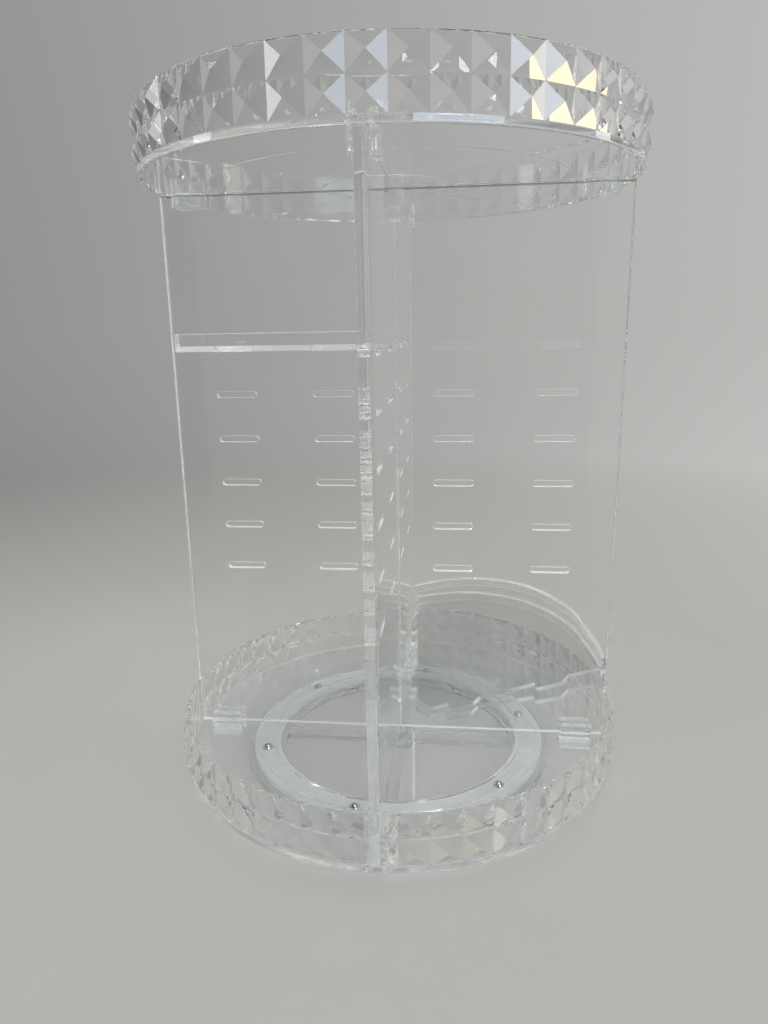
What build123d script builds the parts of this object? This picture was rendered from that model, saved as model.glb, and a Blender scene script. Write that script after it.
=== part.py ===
from build123d import *
from math import atan, cos, degrees, radians, sin, sqrt
import os

# Clear turning organizer: two faceted round trays on two crossed panels, turning on a ring of balls.
# Millimetres, +Z up, origin on the table under the turning axis, wide panel along X.

# trays
tip_radius = 115.0
facet_depth = 2.4
band_inset = 1.6
rim_wall = 1.7
floor_thickness = 3.0
facet_columns = 52
facet_rows = 2
facet_height = 12.2
facet_start_angle = 4.88
rim_clearance = 0.3
rim_chamfer = 0.5
floor_edge_radius = 0.6

# jaws that hold the panel ends, above and below each floor
jaw_rim_gap = 5.9
jaw_length = 16.5
jaw_thickness = 3.4
jaw_height = 6.0
jaw_corner_radius = 1.2
jaw_clearance = 0.2

# low ribs under the top tray's floor
ring_rib_shares = (0.288, 0.757)
rib_width = 1.5
rib_depth = 0.4
rib_break_clearance = 0.4
corner_rib_shares = ((0.284, 0.541), (0.752, 0.992))

# panels
panel_height = 279.0
foot_step = 1.4
foot_gap = 0.4
seat_gap = 0.1
panel_edge_radius = 0.6
core_thickness = 3.2
edge_thickness = 4.6
margin_width = 15.0
slit_clearance = 0.3
slit_share = 0.523
slit_bevel = 0.5
slit_mouth_radius = 1.2
slot_length = 20.6
slot_height = 3.2
slot_column_shares = (0.2696, 0.716)
slot_rows = 6
slot_pitch = 22.8
top_slot_rise = 206.7

# socket under the top tray for the crossing of the panels
socket_radius = 7.0
socket_height = 8.0
socket_clearance = 0.4

# shelves
shelf_setback = 0.6
shelf_side_gap = 0.4
shelf_thickness = 2.8
lip_height = 9.0
lip_thickness = 2.4
lip_edge_radius = 0.5
corner_cut = 8.0
tab_end_clearance = 1.1
tab_tip_inset = 0.2
mounted_quarter_turns = 1

# two spare shelves leaning in the back right quadrant
lower_reach_share = 0.1704
lower_lift = 0.1
rim_rest_gap = 0.2
upper_shift = 3.6
upper_lift = 0.15
lip_rest_gap = 0.2
settling_steps = 12

# turntable
ball_radius = 3.0
ball_count = 6
ball_start_angle = 18.5
bearing_jaw_gap = 6.5
race_clearance = 0.2
race_depth = 1.0
groove_side = 1.3
base_underside = 1.0
base_thickness = 3.7
base_margin = 3.0
arm_width = 9.0
arm_recess = 0.5
hub_wall = 2.4
cage_width = 14.0
cage_thickness = 2.4
cage_gap = 0.3
pocket_clearance = 0.15

# pivot
boss_radius = 6.0
boss_clearance = 0.1
web_thickness = 1.9
pin_head_overlap = 2.3
pin_head_thickness = 1.4
pin_head_gap = 0.1
pin_head_clearance = 0.3
pin_radius = 2.5
pin_length = 6.2
pin_fit = 0.05
boss_end_gap = 0.1

# pads
pad_radius = 4.5
pad_thickness = 1.6
pad_clearance = 0.2

full_turn = 360.0
quarters = 4
quarter_turn = full_turn / quarters
ball_angle = full_turn / ball_count
column_angle = full_turn / facet_columns
valley_radius = tip_radius - facet_depth
band_radius = tip_radius - band_inset
rim_inner_radius = valley_radius - rim_wall
rim_height = facet_rows * facet_height
jaw_end = rim_inner_radius - jaw_rim_gap
foot_half_width = rim_inner_radius - rim_clearance
panel_half_width = foot_half_width + foot_step
slot_columns = [share * panel_half_width for share in slot_column_shares]
base_outer_radius = jaw_end - jaw_length - bearing_jaw_gap
cage_outer_radius = base_outer_radius - base_margin
cage_inner_radius = cage_outer_radius - cage_width
base_inner_radius = cage_inner_radius - base_margin
ball_circle_radius = (cage_inner_radius + cage_outer_radius) / 2
pin_head_radius = boss_radius + pin_head_overlap
hub_radius = pin_head_radius + pin_head_clearance + hub_wall
base_top = base_underside + base_thickness
ball_height = base_top - race_depth + ball_radius
tray_underside = ball_height + ball_radius - race_depth
groove_half_width = ball_radius + groove_side
tray_floor = tray_underside + floor_thickness
panel_foot = tray_floor + seat_gap
top_tray_underside = panel_foot + panel_height + seat_gap
panel_through = edge_thickness + core_thickness
shelf_radius = panel_half_width - shelf_setback
shelf_side = edge_thickness / 2 + shelf_side_gap
tab_tip = tab_tip_inset - core_thickness / 2
shelf_foot = (2 * shelf_side + corner_cut) / sqrt(2)
lower_reach = lower_reach_share * rim_inner_radius
slit_height = slit_share * panel_height
slit_wall = (core_thickness + slit_clearance) / 2
top_slot_height = panel_foot + top_slot_rise
web_underside = base_top - web_thickness


def around(radius, angle, height):
    turn = radians(angle)
    return (radius * cos(turn), radius * sin(turn), height)


def column_at(radius, low, high):
    return Pos(0, 0, (low + high) / 2) * Cylinder(radius, high - low)


def ring_at(outer, inner, low, high):
    return column_at(outer, low, high) - column_at(inner, low, high)


def facet(*corners):
    return Face(Wire.make_polygon([Vector(*corner) for corner in corners], close=True))


def pyramid(column, row):
    # four triangles over one square cell of the rim, tip outward
    left = facet_start_angle + column * column_angle
    right = left + column_angle
    low = floor_thickness + row * facet_height
    high = low + facet_height
    tip = around(tip_radius, (left + right) / 2, (low + high) / 2)
    corners = [
        around(valley_radius, left, low),
        around(valley_radius, right, low),
        around(valley_radius, right, high),
        around(valley_radius, left, high),
    ]
    return [facet(corners[i], corners[(i + 1) % len(corners)], tip) for i in range(len(corners))]


def rim():
    faces = []
    for column in range(facet_columns):
        for row in range(facet_rows):
            faces += pyramid(column, row)
    for height in (floor_thickness, floor_thickness + rim_height):
        angles = [facet_start_angle + column * column_angle for column in range(facet_columns)]
        faces.append(facet(*[around(valley_radius, angle, height) for angle in angles]))
    drum = Solid(Shell(faces))
    top = floor_thickness + rim_height
    mouth = Cone(rim_inner_radius, rim_inner_radius + 2 * rim_chamfer, 2 * rim_chamfer)
    return drum - column_at(rim_inner_radius, 0, top + rim_height) - Pos(0, 0, top) * mouth


def jaws():
    # each block runs through the floor, so it grips a panel above or below
    wedge_share = (jaw_end - panel_half_width + margin_width) / margin_width
    held = core_thickness + wedge_share * (edge_thickness - core_thickness)
    offset = held / 2 + jaw_clearance + jaw_thickness / 2
    height = 2 * jaw_height + floor_thickness
    block = fillet(Box(jaw_length, jaw_thickness, height).edges().filter_by(Axis.Z), jaw_corner_radius)
    blocks = []
    for turn in range(quarters):
        for side in (1, -1):
            place = Pos(jaw_end - jaw_length / 2, side * offset, floor_thickness / 2)
            blocks.append(Rot(0, 0, turn * quarter_turn) * place * block)
    return blocks


def ribs():
    # the ring ribs break where a panel's edge lies against the floor
    width = core_thickness + 2 * rib_break_clearance
    gap = Box(2 * tip_radius, width, 2 * rib_depth)
    breaks = [Rot(0, 0, turn * quarter_turn) * gap for turn in range(2)]
    made = []
    for share in ring_rib_shares:
        radius = share * rim_inner_radius
        made.append(ring_at(radius, radius - rib_width, -rib_depth, 0) - breaks)
    for shares in corner_rib_shares:
        inner, outer = [share * rim_inner_radius for share in shares]
        bar = Pos((inner + outer) / 2, 0, -rib_depth / 2) * Box(outer - inner, rib_width, rib_depth)
        made += [Rot(0, 0, (turn + 1 / 2) * quarter_turn) * bar for turn in range(quarters)]
    return made


def race(height):
    return Pos(0, 0, height) * Torus(ball_circle_radius, ball_radius + race_clearance)


def tray_blank():
    # underside of the floor at zero
    floor = column_at(band_radius, 0, floor_thickness)
    floor = fillet(floor.edges().sort_by(Axis.Z)[0], floor_edge_radius)
    return floor + rim() + jaws()


def bottom_tray():
    boss_end = web_underside + boss_end_gap
    boss = column_at(boss_radius, boss_end - tray_underside, 0)
    bore_top = boss_end - tray_underside + pin_length
    bore = column_at(pin_radius + pin_fit, boss_end - tray_underside, bore_top)
    groove_outer = ball_circle_radius + groove_half_width
    groove_inner = ball_circle_radius - groove_half_width
    groove = ring_at(groove_outer, groove_inner, 0, race_depth + race_clearance)
    return Pos(0, 0, tray_underside) * (tray_blank() + boss - bore - groove)


def cross_socket():
    width = core_thickness + socket_clearance
    post = column_at(socket_radius, -socket_height, 0)
    slot = Pos(0, 0, -socket_height / 2) * Box(2 * socket_radius, width, socket_height)
    return post - [Rot(0, 0, turn * quarter_turn) * slot for turn in range(2)]


def top_tray():
    return Pos(0, 0, top_tray_underside) * (tray_blank() + ribs() + cross_socket())


def panel_slots():
    cuts = []
    for row in range(slot_rows):
        for column in slot_columns:
            for side in (1, -1):
                place = Plane.XZ * Pos(side * column, top_slot_rise - row * slot_pitch)
                outline = place * SlotOverall(slot_length, slot_height)
                cuts.append(extrude(outline, panel_through, both=True))
    return cuts


def panel_blank():
    # foot of the panel at zero, outer margins swelling to the edge thickness
    core = core_thickness / 2
    edge = edge_thickness / 2
    margin = panel_half_width - margin_width
    near = [(-panel_half_width, -edge), (-margin, -core), (margin, -core), (panel_half_width, -edge)]
    far = [(x, -y) for x, y in reversed(near)]
    blank = extrude(make_face(Polyline(*near, *far, close=True)), panel_height)
    ends = [edge for edge in blank.edges().filter_by(Axis.Z) if abs(edge.center().X) > margin + core]
    blank = fillet(ends, panel_edge_radius)
    step = panel_half_width - foot_half_width
    notch_height = rim_height + foot_gap
    notch = Box(2 * step, panel_through, 2 * notch_height)
    notches = [Pos(side * (foot_half_width + step), 0, 0) * notch for side in (1, -1)]
    return blank - notches - panel_slots()


def slit(low, high):
    # bevelled where it meets the faces of the panel
    face = core_thickness / 2
    outer = slit_wall + slit_bevel
    corner = [(slit_wall, face - slit_bevel), (outer, face), (outer, panel_through)]
    upper = corner + [(-x, y) for x, y in reversed(corner)]
    lower = [(-x, -y) for x, y in upper]
    outline = make_face(Polyline(*upper, *lower, close=True))
    return Pos(0, 0, low) * extrude(outline, high - low)


def slit_mouth():
    # rounded lead-in for a slit that opens at the foot of a panel
    reach = slit_wall + slit_mouth_radius
    flare = Rectangle(2 * reach, 2 * slit_mouth_radius)
    flare -= [Pos(side * reach, slit_mouth_radius) * Circle(slit_mouth_radius) for side in (1, -1)]
    return extrude(Plane.XZ * flare, panel_through, both=True)


def wide_panel():
    cut = slit(-slit_height, slit_height)
    return Pos(0, 0, panel_foot) * (panel_blank() - cut - slit_mouth())


def cross_panel():
    cut = slit(slit_height - slit_clearance, 2 * panel_height)
    mouth = Pos(0, 0, panel_height) * Rot(full_turn / 2, 0, 0) * slit_mouth()
    return Pos(0, 0, panel_foot) * Rot(0, 0, quarter_turn) * (panel_blank() - cut - mouth)


def tab(column):
    # the outer end is slanted so the shelf slides straight out along its middle line
    near = column - slot_length / 2 + tab_end_clearance
    far = column + slot_length / 2 - tab_end_clearance
    reach = shelf_side - tab_tip
    return [(near, shelf_side), (near, tab_tip), (far - reach, tab_tip), (far, shelf_side)]


def shelf():
    # mounted in the quadrant between +X and +Y, underside at zero
    corner = shelf_side + shelf_radius / 2
    quarter = Circle(shelf_radius) & Pos(corner, corner) * Rectangle(shelf_radius, shelf_radius)
    cut = shelf_side + corner_cut
    corner_points = [(shelf_side, shelf_side), (cut, shelf_side), (shelf_side, cut)]
    outline = quarter - make_face(Polyline(*corner_points, close=True))
    for column in slot_columns:
        points = tab(column)
        outline += make_face(Polyline(*points, close=True))
        outline += make_face(Polyline(*[(y, x) for x, y in points], close=True))
    lip = extrude(quarter - Circle(shelf_radius - lip_thickness), lip_height)
    lip = fillet(lip.faces().sort_by(Axis.Z)[-1].edges(), lip_edge_radius)
    return extrude(outline, shelf_thickness) + lip


def leaned(shape, tilt, reach, lift):
    # turns a shelf up about its cut corner and sets that corner out along the middle line
    footed = Pos(-shelf_foot / sqrt(2), -shelf_foot / sqrt(2), 0) * shape
    turned = footed.rotate(Axis((0, 0, 0), (1, -1, 0)), tilt)
    return Pos(reach / sqrt(2), reach / sqrt(2), lift) * turned


def lower_tilt():
    # the underside rests on the rim where the straight sides of the shelf cross it
    side_offset = shelf_foot - sqrt(2) * shelf_side
    run = rim_inner_radius / 2
    for _ in range(settling_steps):
        across = sqrt(run**2 + rim_height**2) + side_offset
        run = (run + sqrt(rim_inner_radius**2 - across**2) - lower_reach) / 2
    return degrees(atan((rim_height + rim_rest_gap) / run))


def upper_extra_tilt():
    # the underside rests on the ends of the lower shelf's lip
    lip_inner = shelf_radius - lip_thickness
    lip_end = (shelf_side + sqrt(lip_inner**2 - shelf_side**2)) / sqrt(2)
    rise = lip_height + lip_rest_gap - shelf_thickness - upper_lift
    return degrees(atan(rise / (lip_end - shelf_foot - upper_shift)))


def mounted_shelf():
    height = top_slot_height - shelf_thickness / 2
    return Pos(0, 0, height) * Rot(0, 0, mounted_quarter_turns * quarter_turn) * shelf()


def loose_shelf_lower():
    return leaned(shelf(), lower_tilt(), lower_reach, tray_floor + lower_lift)


def loose_shelf_upper():
    reach = shelf_foot + upper_shift
    stacked = leaned(shelf(), upper_extra_tilt(), reach, shelf_thickness + upper_lift)
    return leaned(stacked, lower_tilt(), lower_reach, tray_floor + lower_lift)


def turntable_base():
    ring = ring_at(base_outer_radius, base_inner_radius, base_underside, base_top)
    arm_height = base_thickness - 2 * arm_recess
    arm_length = 2 * base_inner_radius + arm_width
    arm = Pos(0, 0, base_underside + base_thickness / 2) * Box(arm_length, arm_width, arm_height)
    arms = [Rot(0, 0, turn * quarter_turn) * arm for turn in range(2)]
    body = ring + arms + column_at(hub_radius, base_underside, base_top)
    body -= column_at(boss_radius + boss_clearance, base_underside, base_top)
    body -= column_at(pin_head_radius + pin_head_clearance, base_underside, web_underside)
    body -= race(ball_height)
    return body - [pad_at(turn, pad_radius + pad_clearance) for turn in range(ball_count)]


def pad_at(turn, radius):
    place = Pos(*around(ball_circle_radius, turn * ball_angle, pad_thickness / 2))
    return place * Cylinder(radius, pad_thickness)


def base_pads():
    return Compound(children=[pad_at(turn, pad_radius) for turn in range(ball_count)])


def ball_places():
    angles = [ball_start_angle + turn * ball_angle for turn in range(ball_count)]
    return [Pos(*around(ball_circle_radius, angle, ball_height)) for angle in angles]


def bearing_balls():
    return Compound(children=[place * Sphere(ball_radius) for place in ball_places()])


def ball_cage():
    low = base_top + cage_gap
    ring = ring_at(cage_outer_radius, cage_inner_radius, low, low + cage_thickness)
    pocket = Cylinder(ball_radius + pocket_clearance, 2 * ball_radius)
    return ring - [place * pocket for place in ball_places()]


def pivot_pin():
    head_top = web_underside - pin_head_gap
    shank = column_at(pin_radius, head_top, head_top + pin_length)
    return shank + column_at(pin_head_radius, head_top - pin_head_thickness, head_top)


os.makedirs("parts", exist_ok=True)
made = {
    "turntable_base": turntable_base(),
    "base_pads": base_pads(),
    "ball_cage": ball_cage(),
    "bearing_balls": bearing_balls(),
    "pivot_pin": pivot_pin(),
    "bottom_tray": bottom_tray(),
    "wide_panel": wide_panel(),
    "cross_panel": cross_panel(),
    "top_tray": top_tray(),
    "mounted_shelf": mounted_shelf(),
    "loose_shelf_lower": loose_shelf_lower(),
    "loose_shelf_upper": loose_shelf_upper(),
}
for name, shape in made.items():
    export_step(shape, f"parts/{name}.step")
    print(name, "volume", round(shape.volume))
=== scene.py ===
from math import cos, pi, radians, sin, sqrt

import bpy
from mathutils import Matrix, Vector

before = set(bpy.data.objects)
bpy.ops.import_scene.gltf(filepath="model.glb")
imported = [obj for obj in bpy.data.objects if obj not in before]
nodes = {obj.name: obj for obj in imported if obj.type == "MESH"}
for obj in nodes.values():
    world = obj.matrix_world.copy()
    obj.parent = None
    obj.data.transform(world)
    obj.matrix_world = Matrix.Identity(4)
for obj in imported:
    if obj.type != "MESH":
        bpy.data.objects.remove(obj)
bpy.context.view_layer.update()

bpy.ops.object.select_all(action="DESELECT")
print("frame loaded,", len(nodes), "nodes")


# small helpers for node trees
def newMaterial(name):
    mat = bpy.data.materials.new(name)
    mat.use_nodes = True
    tree = mat.node_tree
    return mat, tree, tree.nodes["Principled BSDF"]


def addNode(tree, kind, **settings):
    node = tree.nodes.new(kind)
    for key, value in settings.items():
        setattr(node, key, value)
    return node


def objectCoords(tree, scale=(1, 1, 1), turn=(0, 0, 0)):
    coords = addNode(tree, "ShaderNodeTexCoord")
    mapping = addNode(tree, "ShaderNodeMapping")
    mapping.inputs["Scale"].default_value = scale
    mapping.inputs["Rotation"].default_value = [radians(a) for a in turn]
    tree.links.new(coords.outputs["Object"], mapping.inputs["Vector"])
    return mapping.outputs["Vector"]


def noise(tree, vector, scale, detail=3.0, roughness=0.5):
    tex = addNode(tree, "ShaderNodeTexNoise")
    tex.inputs["Scale"].default_value = scale
    tex.inputs["Detail"].default_value = detail
    tex.inputs["Roughness"].default_value = roughness
    tree.links.new(vector, tex.inputs["Vector"])
    return tex.outputs["Fac"]


def remap(tree, value, fromLow, fromHigh, toLow, toHigh):
    node = addNode(tree, "ShaderNodeMapRange", clamp=True)
    ends = {"From Min": fromLow, "From Max": fromHigh, "To Min": toLow, "To Max": toHigh}
    for key, number in ends.items():
        node.inputs[key].default_value = number
    tree.links.new(value, node.inputs["Value"])
    return node.outputs["Result"]


def combine(tree, a, b, operation="ADD"):
    node = addNode(tree, "ShaderNodeMath", operation=operation)
    tree.links.new(a, node.inputs[0])
    tree.links.new(b, node.inputs[1])
    return node.outputs["Value"]


def tintBetween(tree, value, low, high):
    node = addNode(tree, "ShaderNodeMix", data_type="RGBA")
    node.inputs["A"].default_value = (*low, 1)
    node.inputs["B"].default_value = (*high, 1)
    tree.links.new(value, node.inputs["Factor"])
    return node.outputs["Result"]


def tintOver(tree, value, under, over):
    node = addNode(tree, "ShaderNodeMix", data_type="RGBA")
    node.inputs["B"].default_value = (*over, 1)
    tree.links.new(value, node.inputs["Factor"])
    tree.links.new(under, node.inputs["A"])
    return node.outputs["Result"]


def raiseBy(tree, shader, value, height):
    bump = addNode(tree, "ShaderNodeBump")
    bump.inputs["Distance"].default_value = height
    tree.links.new(value, bump.inputs["Height"])
    tree.links.new(bump.outputs["Normal"], shader.inputs["Normal"])


# what every clear piece has in common
acrylic = {
    "index": 1.49, "shadow": (0.93, 0.935, 0.935), "smudgeRange": (0.42, 0.72), "tintedFrom": 0.05,
    "scratchTurns": ((14, 8, 31), (-9, 21, 118)), "scratchScale": (5, 420, 420),
    "scratchRange": (0.70, 0.75), "sideRange": (0.45, 0.85), "levelRange": (0.3, 0.8),
}
zAxis = (0, 0, 1)


def scratches(tree):
    # fine wiping scratches, long one way and narrow the other
    sets = []
    for turn in acrylic["scratchTurns"]:
        stretched = objectCoords(tree, scale=acrylic["scratchScale"], turn=turn)
        streak = noise(tree, stretched, 1.0, detail=2.0, roughness=0.6)
        sets.append(remap(tree, streak, *acrylic["scratchRange"], 0.0, 1.0))
    return combine(tree, *sets, "MAXIMUM")


def facing(tree, output, axis):
    # how squarely the surface normal, or how far the place, lies along an axis
    coords = addNode(tree, "ShaderNodeTexCoord")
    dot = addNode(tree, "ShaderNodeVectorMath", operation="DOT_PRODUCT")
    dot.inputs[1].default_value = axis
    tree.links.new(coords.outputs[output], dot.inputs[0])
    return dot.outputs["Value"]


def absOf(tree, value):
    node = addNode(tree, "ShaderNodeMath", operation="ABSOLUTE")
    tree.links.new(value, node.inputs[0])
    return node.outputs["Value"]


def edgeMask(tree, thinAxis):
    # 1 on the narrow edges and slot walls of a sheet, 0 on its two wide faces
    square = absOf(tree, facing(tree, "Normal", thinAxis))
    return remap(tree, square, *acrylic["sideRange"], 1.0, 0.0)


def panelEdge(tree, sheet):
    # the sawn foot is dullest, then the slot walls, and the upright edges are nearest to polished
    flat = absOf(tree, facing(tree, "Normal", zAxis))
    share = remap(tree, flat, *acrylic["levelRange"], sheet["upright"], sheet["slot"])
    level = remap(tree, flat, *acrylic["levelRange"], 0.0, 1.0)
    footTop, blend = panelLook["footTop"], panelLook["blend"]
    foot = remap(tree, facing(tree, "Object", zAxis), footTop, footTop + blend, sheet["foot"], 0.0)
    share = combine(tree, share, combine(tree, foot, level, "MULTIPLY"), "MAXIMUM")
    return combine(tree, edgeMask(tree, sheet["thinAxis"]), share, "MULTIPLY")


def panelShade(tree, sheet):
    # a thin line along the top of both faces, in the shade of the tray above
    square = absOf(tree, facing(tree, "Normal", sheet["thinAxis"]))
    face = remap(tree, square, *acrylic["sideRange"], 0.0, 1.0)
    shadeFrom, blend = panelLook["shadeFrom"], panelLook["blend"]
    top = remap(tree, facing(tree, "Object", zAxis), shadeFrom, shadeFrom + blend, 0.0, 1.0)
    return combine(tree, face, top, "MULTIPLY")


def trayEdge(tree, finish):
    # the lower edge of the floor and the jaw blocks scatter a little
    coords = addNode(tree, "ShaderNodeTexCoord")
    across = addNode(tree, "ShaderNodeVectorMath", operation="MULTIPLY")
    across.inputs[1].default_value = (1, 1, 0)
    reach = addNode(tree, "ShaderNodeVectorMath", operation="LENGTH")
    tree.links.new(coords.outputs["Object"], across.inputs[0])
    tree.links.new(across.outputs["Vector"], reach.inputs[0])
    reach = reach.outputs["Value"]
    height = facing(tree, "Object", zAxis)
    floorTop, blend = finish["floorTop"], trayLook["blend"]
    floorUnder = floorTop - trayLook["floorThickness"]
    bandStart, bandTop = trayLook["bandStart"], floorUnder + finish["bandHeight"]
    outer = remap(tree, reach, bandStart, bandStart + blend, 0.0, trayLook["bandShare"])
    low = remap(tree, height, bandTop, bandTop + trayLook["bandBlend"], 1.0, 0.0)
    band = combine(tree, outer, low, "MULTIPLY")
    jawFrom, jawTo = trayLook["jawSpan"]
    jaw = combine(tree, remap(tree, reach, jawFrom, jawFrom + blend, 0.0, 1.0),
                  remap(tree, reach, jawTo, jawTo + blend, 1.0, 0.0), "MULTIPLY")
    offset = combine(tree, absOf(tree, facing(tree, "Object", (1, 0, 0))),
                     absOf(tree, facing(tree, "Object", (0, 1, 0))), "MINIMUM")
    jawSide = trayLook["jawSide"]
    jaw = combine(tree, jaw, remap(tree, offset, jawSide, jawSide + blend, 1.0, 0.0), "MULTIPLY")
    aboveFrom, belowTo = floorTop + trayLook["jawRise"], floorUnder - trayLook["jawRise"]
    above = remap(tree, height, aboveFrom, aboveFrom + blend, 0.0, finish["jawAbove"])
    below = remap(tree, height, belowTo - blend, belowTo, finish["jawBelow"], 0.0)
    proud = combine(tree, above, below, "MAXIMUM")
    return combine(tree, band, combine(tree, jaw, proud, "MULTIPLY"), "MAXIMUM")


def shelfEdge(tree, thinAxis, under):
    # the floor's rim and the top of the lip are dull, the lip between them stays clear
    height = facing(tree, "Object", thinAxis)
    floorTop, lipTop = under + shelfLook["floorTop"], under + shelfLook["lipTop"]
    low = remap(tree, height, floorTop, floorTop + shelfLook["blend"], 1.0, 0.0)
    lip = remap(tree, height, lipTop, lipTop + shelfLook["blend"], 0.0, 1.0)
    return combine(tree, combine(tree, edgeMask(tree, thinAxis), low, "MULTIPLY"), lip, "MAXIMUM")


def clearAcrylic(name, look, edgeOf=None, shadeOf=None):
    mat, tree, shader = newMaterial(name)
    place = objectCoords(tree)
    cloud = noise(tree, place, look["smudgeScale"], detail=5.0, roughness=0.62)
    smudge = remap(tree, cloud, *acrylic["smudgeRange"], 0.0, 1.0)
    gloss = combine(tree, remap(tree, smudge, 0, 1, *look["rough"]),
                    remap(tree, scratches(tree), 0, 1, 0.0, look["scratchRough"]))
    if edgeOf:  # edges are left a little matt, so they gather light
        edge = edgeOf(tree)
        gloss = combine(tree, gloss, remap(tree, edge, 0, 1, 0.0, look["edgeRough"]))
        clear = remap(tree, edge, 0, 1, 1.0, look["edgeClear"])
        tree.links.new(clear, shader.inputs["Transmission Weight"])
    else:
        shader.inputs["Transmission Weight"].default_value = 1.0
    tree.links.new(gloss, shader.inputs["Roughness"])
    tint = tintBetween(tree, smudge, look["tint"], look["smudgeTint"])
    if edgeOf:
        tinted = remap(tree, edge, 0.0, acrylic["tintedFrom"], 0.0, 1.0)
        tint = tintOver(tree, tinted, tint, look["edgeTint"])
    if shadeOf:
        tint = tintOver(tree, shadeOf(tree), tint, look["shadeTint"])
    tree.links.new(tint, shader.inputs["Base Color"])
    wave = noise(tree, place, look["waveScale"], detail=2.0, roughness=0.4)
    raiseBy(tree, shader, wave, look["waveHeight"])  # slow waviness of a moulded face
    shader.inputs["IOR"].default_value = acrylic["index"]
    letLampsThrough(tree, shader)
    return mat


def letLampsThrough(tree, shader):
    # lamp rays pass a clear wall, so it shades the floor only a little
    out = tree.nodes["Material Output"]
    path = addNode(tree, "ShaderNodeLightPath")
    clear = addNode(tree, "ShaderNodeBsdfTransparent")
    clear.inputs["Color"].default_value = (*acrylic["shadow"], 1)
    mix = addNode(tree, "ShaderNodeMixShader")
    tree.links.new(path.outputs["Is Shadow Ray"], mix.inputs["Fac"])
    tree.links.new(shader.outputs["BSDF"], mix.inputs[1])
    tree.links.new(clear.outputs["BSDF"], mix.inputs[2])
    tree.links.new(mix.outputs["Shader"], out.inputs["Surface"])


def dress(node, mat):
    mesh = nodes[node].data
    mesh.materials.clear()
    mesh.materials.append(mat)


# trays: polished inside and on the facets
trayLook = {
    "tint": (0.975, 0.982, 0.982), "smudgeTint": (0.93, 0.94, 0.94),
    "rough": (0.004, 0.05), "smudgeScale": 26.0, "scratchRough": 0.12,
    "waveScale": 16.0, "waveHeight": 0.00006,
    "edgeRough": 0.2, "edgeClear": 0.72, "edgeTint": (0.95, 0.96, 0.955), "blend": 0.0004,
    "floorThickness": 0.003, "bandStart": 0.1122, "bandShare": 0.6, "bandBlend": 0.0003,
    "jawSpan": (0.0880, 0.1052), "jawSide": 0.0060, "jawRise": 0.0002,
}
# floor level, height of the dull band, dullness of the jaws above and below the floor
trayFloors = {
    "bottom_tray": {"floorTop": 0.0117, "bandHeight": 0.0028, "jawAbove": 0.1, "jawBelow": 0.5},
    "top_tray": {"floorTop": 0.2939, "bandHeight": 0.0007, "jawAbove": 0.08, "jawBelow": 0.08},
}
for tray, finish in trayFloors.items():
    dress(tray, clearAcrylic(tray + "_acrylic", trayLook, lambda tree: trayEdge(tree, finish)))

# panels: flat sheets, so the waviness is slower and the wiping scratches show more
panelLook = {
    "tint": (0.978, 0.985, 0.984), "smudgeTint": (0.94, 0.95, 0.95),
    "rough": (0.003, 0.04), "smudgeScale": 14.0, "scratchRough": 0.16,
    "waveScale": 9.0, "waveHeight": 0.00009, "edgeRough": 0.3, "edgeClear": 0.4,
    "edgeTint": (0.89, 0.915, 0.895), "footTop": 0.0130, "blend": 0.0004,
    "shadeFrom": 0.2900, "shadeTint": (0.42, 0.41, 0.40),
}
# dullness of the upright edges, the slot walls and the foot
panelSheets = {
    "wide_panel": {"thinAxis": (0, 1, 0), "upright": 0.45, "slot": 0.8, "foot": 1.0},
    "cross_panel": {"thinAxis": (1, 0, 0), "upright": 0.03, "slot": 0.4, "foot": 0.55},
}
for panel, sheet in panelSheets.items():
    dress(panel, clearAcrylic(panel + "_acrylic", panelLook, lambda tree: panelEdge(tree, sheet),
                              lambda tree: panelShade(tree, sheet)))

# shelves: one sits level in its slots, two lean with the cut corner down
shelfLook = {
    "tint": (0.972, 0.98, 0.98), "smudgeTint": (0.93, 0.94, 0.94),
    "rough": (0.004, 0.05), "smudgeScale": 22.0, "scratchRough": 0.16,
    "waveScale": 14.0, "waveHeight": 0.00006,
    "edgeRough": 0.16, "edgeClear": 0.72, "edgeTint": (0.93, 0.95, 0.94),
    "floorTop": 0.0026, "lipTop": 0.0083, "blend": 0.0003,
}
shelfTilts = {"mounted_shelf": 0.0, "loose_shelf_lower": 21.1, "loose_shelf_upper": 26.5}
for shelf, tilt in shelfTilts.items():
    lean = sin(radians(tilt)) / sqrt(2)
    upAxis = Vector((-lean, -lean, cos(radians(tilt))))
    under = min(upAxis.dot(corner.co) for corner in nodes[shelf].data.vertices)
    dress(shelf, clearAcrylic(shelf + "_acrylic", shelfLook,
                              lambda tree: shelfEdge(tree, upAxis, under)))

# base and pin: the same resin, a little duller from the mould
baseLook = {
    "tint": (0.985, 0.99, 0.988), "smudgeTint": (0.955, 0.962, 0.96),
    "rough": (0.01, 0.06), "smudgeScale": 34.0, "scratchRough": 0.12,
    "waveScale": 26.0, "waveHeight": 0.00005,
}
baseMat = clearAcrylic("clear_base_acrylic", baseLook)
for piece in ("turntable_base", "pivot_pin"):
    dress(piece, baseMat)
print("clear pieces dressed")

# cage ring: pale translucent plastic with a fine grain
cageLook = {
    "pale": (0.80, 0.81, 0.80), "milky": (0.72, 0.73, 0.725), "cloudScale": 60.0,
    "grainScale": 900.0, "grainHeight": 0.00002, "grainRange": (0.3, 0.7), "rough": (0.28, 0.42),
    "clear": 0.72, "index": 1.46,
}


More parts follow.
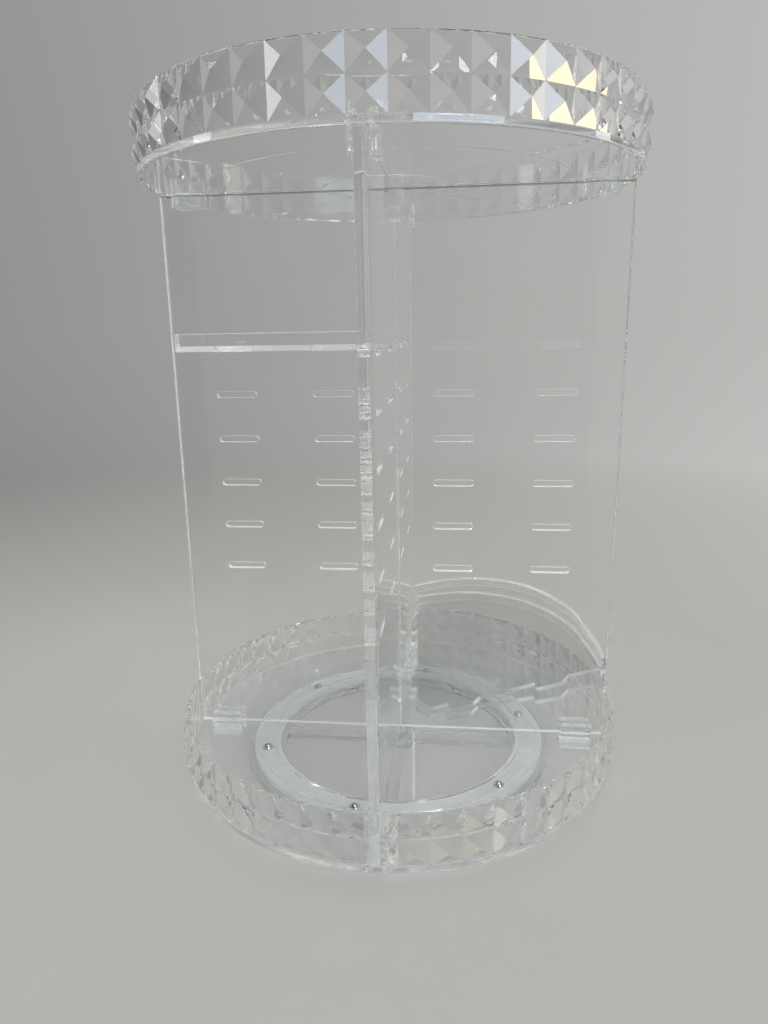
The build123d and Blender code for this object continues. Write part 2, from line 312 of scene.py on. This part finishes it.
def cageMaterial(look):
    mat, tree, shader = newMaterial("cage_translucent")
    place = objectCoords(tree)
    cloud = noise(tree, place, look["cloudScale"])
    tint = tintBetween(tree, cloud, look["pale"], look["milky"])
    tree.links.new(tint, shader.inputs["Base Color"])
    grain = noise(tree, place, look["grainScale"], detail=2.0)
    gloss = remap(tree, grain, *look["grainRange"], *look["rough"])
    tree.links.new(gloss, shader.inputs["Roughness"])
    raiseBy(tree, shader, grain, look["grainHeight"])
    shader.inputs["Transmission Weight"].default_value = look["clear"]
    shader.inputs["IOR"].default_value = look["index"]
    letLampsThrough(tree, shader)
    return mat


dress("ball_cage", cageMaterial(cageLook))

# balls: polished steel with a trace of rolling marks
ballLook = {
    "bright": (0.80, 0.80, 0.82), "worn": (0.66, 0.66, 0.68),
    "markScale": 1400.0, "markRange": (0.35, 0.7), "rough": (0.06, 0.2),
}


def steelMaterial(look):
    mat, tree, shader = newMaterial("ball_bearing_steel")
    place = objectCoords(tree)
    marks = noise(tree, place, look["markScale"], roughness=0.6)
    tint = tintBetween(tree, marks, look["bright"], look["worn"])
    tree.links.new(tint, shader.inputs["Base Color"])
    gloss = remap(tree, marks, *look["markRange"], *look["rough"])
    tree.links.new(gloss, shader.inputs["Roughness"])
    shader.inputs["Metallic"].default_value = 1.0
    return mat


dress("bearing_balls", steelMaterial(ballLook))

# pads: soft pale rubber
padLook = {
    "pale": (0.80, 0.80, 0.78), "dusty": (0.70, 0.70, 0.68),
    "dustScale": 160.0, "dustRange": (0.3, 0.7), "rough": (0.55, 0.75),
    "grainScale": 1500.0, "grainHeight": 0.00004,
}


def rubberMaterial(look):
    mat, tree, shader = newMaterial("pad_rubber")
    place = objectCoords(tree)
    dust = noise(tree, place, look["dustScale"], detail=4.0, roughness=0.6)
    tint = tintBetween(tree, dust, look["pale"], look["dusty"])
    tree.links.new(tint, shader.inputs["Base Color"])
    gloss = remap(tree, dust, *look["dustRange"], *look["rough"])
    tree.links.new(gloss, shader.inputs["Roughness"])
    raiseBy(tree, shader, noise(tree, place, look["grainScale"]), look["grainHeight"])
    return mat


dress("base_pads", rubberMaterial(padLook))
print("bearing and pads dressed")

# studio: pale floor that runs out into the backdrop colour
studio = {
    "floorColour": (0.43, 0.42, 0.405), "horizon": (0.43, 0.425, 0.415),
    "wall": (0.43, 0.43, 0.425), "ceiling": (0.05, 0.052, 0.055), "stops": (0.03, 0.36, 0.48, 0.66),
    "sideSpan": (-0.75, 0.75), "sideShade": (0.58, 1.35), "fadeFrom": 0.28, "fadeTo": 1.0,
    "floorRadius": 40.0, "floorCorners": 96, "floorRough": 0.6, "floorSheen": 0.25,
    "mottleScale": 40.0, "mottleDip": 0.985, "worldLight": 0.56, "worldTint": (1, 0.995, 0.985),
}


def seenRays(tree):
    # camera, mirror and see-through rays all meet the backdrop colour
    path = addNode(tree, "ShaderNodeLightPath")
    seen = combine(tree, path.outputs["Is Camera Ray"], path.outputs["Is Glossy Ray"], "MAXIMUM")
    return combine(tree, seen, path.outputs["Is Transmission Ray"], "MAXIMUM")


def sideShade(tree, heading, look):
    # the backdrop is darker to the left of the object than to the right
    split = addNode(tree, "ShaderNodeSeparateXYZ")
    tree.links.new(heading, split.inputs["Vector"])
    return remap(tree, split.outputs["X"], *look["sideSpan"], *look["sideShade"])


def floorMaterial(look):
    mat, tree, shader = newMaterial("studio_floor")
    place = objectCoords(tree)
    mottle = noise(tree, place, look["mottleScale"], detail=4.0, roughness=0.6)
    low = [c * look["mottleDip"] for c in look["floorColour"]]
    tree.links.new(tintBetween(tree, mottle, low, look["floorColour"]), shader.inputs["Base Color"])
    shader.inputs["Roughness"].default_value = look["floorRough"]
    shader.inputs["Specular IOR Level"].default_value = look["floorSheen"]
    length = addNode(tree, "ShaderNodeVectorMath", operation="LENGTH")
    tree.links.new(place, length.inputs[0])
    fade = remap(tree, length.outputs["Value"], look["fadeFrom"], look["fadeTo"], 0.0, 1.0)
    glow = addNode(tree, "ShaderNodeEmission")
    glow.inputs["Color"].default_value = (*look["horizon"], 1)
    heading = addNode(tree, "ShaderNodeVectorMath", operation="NORMALIZE")
    tree.links.new(place, heading.inputs[0])
    tree.links.new(sideShade(tree, heading.outputs["Vector"], look), glow.inputs["Strength"])
    mix = addNode(tree, "ShaderNodeMixShader")
    tree.links.new(combine(tree, fade, seenRays(tree), "MULTIPLY"), mix.inputs["Fac"])
    tree.links.new(shader.outputs["BSDF"], mix.inputs[1])
    tree.links.new(glow.outputs["Emission"], mix.inputs[2])
    tree.links.new(mix.outputs["Shader"], tree.nodes["Material Output"].inputs["Surface"])
    return mat


bpy.ops.mesh.primitive_circle_add(vertices=studio["floorCorners"], radius=studio["floorRadius"],
                                  fill_type="NGON", location=(0, 0, 0))
floor = bpy.context.object
floor.name = "studio_floor"
floor.data.materials.append(floorMaterial(studio))


def studioWorld(look):
    world = bpy.data.worlds.new("studio_world")
    bpy.context.scene.world = world
    world.use_nodes = True
    tree = world.node_tree
    tree.nodes.clear()
    coords = addNode(tree, "ShaderNodeTexCoord")
    split = addNode(tree, "ShaderNodeSeparateXYZ")
    tree.links.new(coords.outputs["Generated"], split.inputs["Vector"])
    ramp = addNode(tree, "ShaderNodeValToRGB")
    bands = ramp.color_ramp.elements
    colours = (look["horizon"], look["wall"], look["wall"], look["ceiling"])
    while len(bands) < len(colours):
        bands.new(0.5)
    for band, stop, colour in zip(bands, look["stops"], colours):
        band.position = stop
        band.color = (*colour, 1)
    tree.links.new(split.outputs["Z"], ramp.inputs["Fac"])
    seen = addNode(tree, "ShaderNodeBackground")
    tree.links.new(ramp.outputs["Color"], seen.inputs["Color"])
    tree.links.new(sideShade(tree, coords.outputs["Generated"], look), seen.inputs["Strength"])
    lit = addNode(tree, "ShaderNodeBackground")
    lit.inputs["Color"].default_value = (*look["worldTint"], 1)
    lit.inputs["Strength"].default_value = look["worldLight"]
    mix = addNode(tree, "ShaderNodeMixShader")
    tree.links.new(seenRays(tree), mix.inputs["Fac"])
    tree.links.new(lit.outputs["Background"], mix.inputs[1])
    tree.links.new(seen.outputs["Background"], mix.inputs[2])
    out = addNode(tree, "ShaderNodeOutputWorld")
    tree.links.new(mix.outputs["Shader"], out.inputs["Surface"])


studioWorld(studio)

# lamps: soft ones overhead and in front, side strips that show only as glints, a warm one behind,
# and a low window that lights the top tray alone
lamps = {
    "overhead": {"at": (0.15, -0.1, 1.7), "size": (0.8, 0.8), "glow": 3.5,
                 "colour": (1.0, 1.0, 0.99), "through": True},
    "front_window": {"at": (0.7, -1.2, 1.25), "size": (0.4, 0.5), "glow": 12.0,
                     "colour": (0.90, 0.95, 1.0), "through": True},
    "rim_window": {"at": (0.8, -1.28, 0.74), "size": (1.0, 0.42), "glow": 6.2,
                   "colour": (0.66, 0.82, 1.0), "through": False, "only": ("top_tray",)},
    "left_strip": {"at": (-1.3, -0.35, 0.75), "size": (0.25, 1.1), "glow": 5.0,
                   "colour": (0.95, 0.98, 1.0), "through": False},
    "right_strip": {"at": (1.35, 0.25, 0.7), "size": (0.25, 1.1), "glow": 5.0,
                    "colour": (1.0, 0.96, 0.9), "through": False},
    "back_warm": {"at": (0.45, 1.2, 1.2), "size": (0.4, 0.4), "glow": 1.0,
                  "colour": (1.0, 0.74, 0.40), "through": True},
}
aimAt = Vector((0, 0, 0.16))  # the middle of the organizer
for name, lamp in lamps.items():
    light = bpy.data.lights.new(name, "AREA")
    light.shape = "RECTANGLE"
    light.size, light.size_y = lamp["size"]
    light.energy = lamp["glow"] * pi * light.size * light.size_y
    light.color = lamp["colour"]
    holder = bpy.data.objects.new(name, light)
    holder.location = lamp["at"]
    holder.rotation_euler = (aimAt - Vector(lamp["at"])).to_track_quat("-Z", "Y").to_euler()
    bpy.context.collection.objects.link(holder)
    holder.visible_camera = False
    holder.visible_transmission = lamp["through"]
    if "only" in lamp:
        lit = bpy.data.collections.new(name + "_lit")
        for piece in lamp["only"]:
            lit.objects.link(nodes[piece])
        holder.light_linking.receiver_collection = lit
print("studio set,", len(lamps), "lamps")

# camera: solved from the panel corners, slots and rims of the photograph
cameraLook = {
    "at": (0.03351, -0.37134, 0.22686), "focalPixels": 738.41, "imageHeight": 1024,
    "sensorHeight": 36.0, "clipStart": 0.01,
    "right": (0.99477, 0.10092, -0.01606), "down": (0.00875, -0.24069, -0.97056),
    "forward": (-0.10181, 0.96534, -0.24031),
}
camData = bpy.data.cameras.new("photo_camera")
camData.sensor_fit = "VERTICAL"
camData.sensor_height = cameraLook["sensorHeight"]
camData.lens = cameraLook["focalPixels"] / cameraLook["imageHeight"] * cameraLook["sensorHeight"]
camData.clip_start = cameraLook["clipStart"]
camera = bpy.data.objects.new("photo_camera", camData)
up, back = -Vector(cameraLook["down"]), -Vector(cameraLook["forward"])
turn = Matrix((cameraLook["right"], up, back)).transposed()
camera.matrix_world = Matrix.Translation(cameraLook["at"]) @ turn.to_4x4()
bpy.context.collection.objects.link(camera)
bpy.context.scene.camera = camera

scene = bpy.context.scene
scene.view_settings.view_transform = "Standard"
bounces = 64  # light runs far inside a clear sheet
scene.cycles.max_bounces = bounces
scene.cycles.transmission_bounces = bounces
scene.cycles.glossy_bounces = bounces
scene.cycles.transparent_max_bounces = bounces
print("camera set")
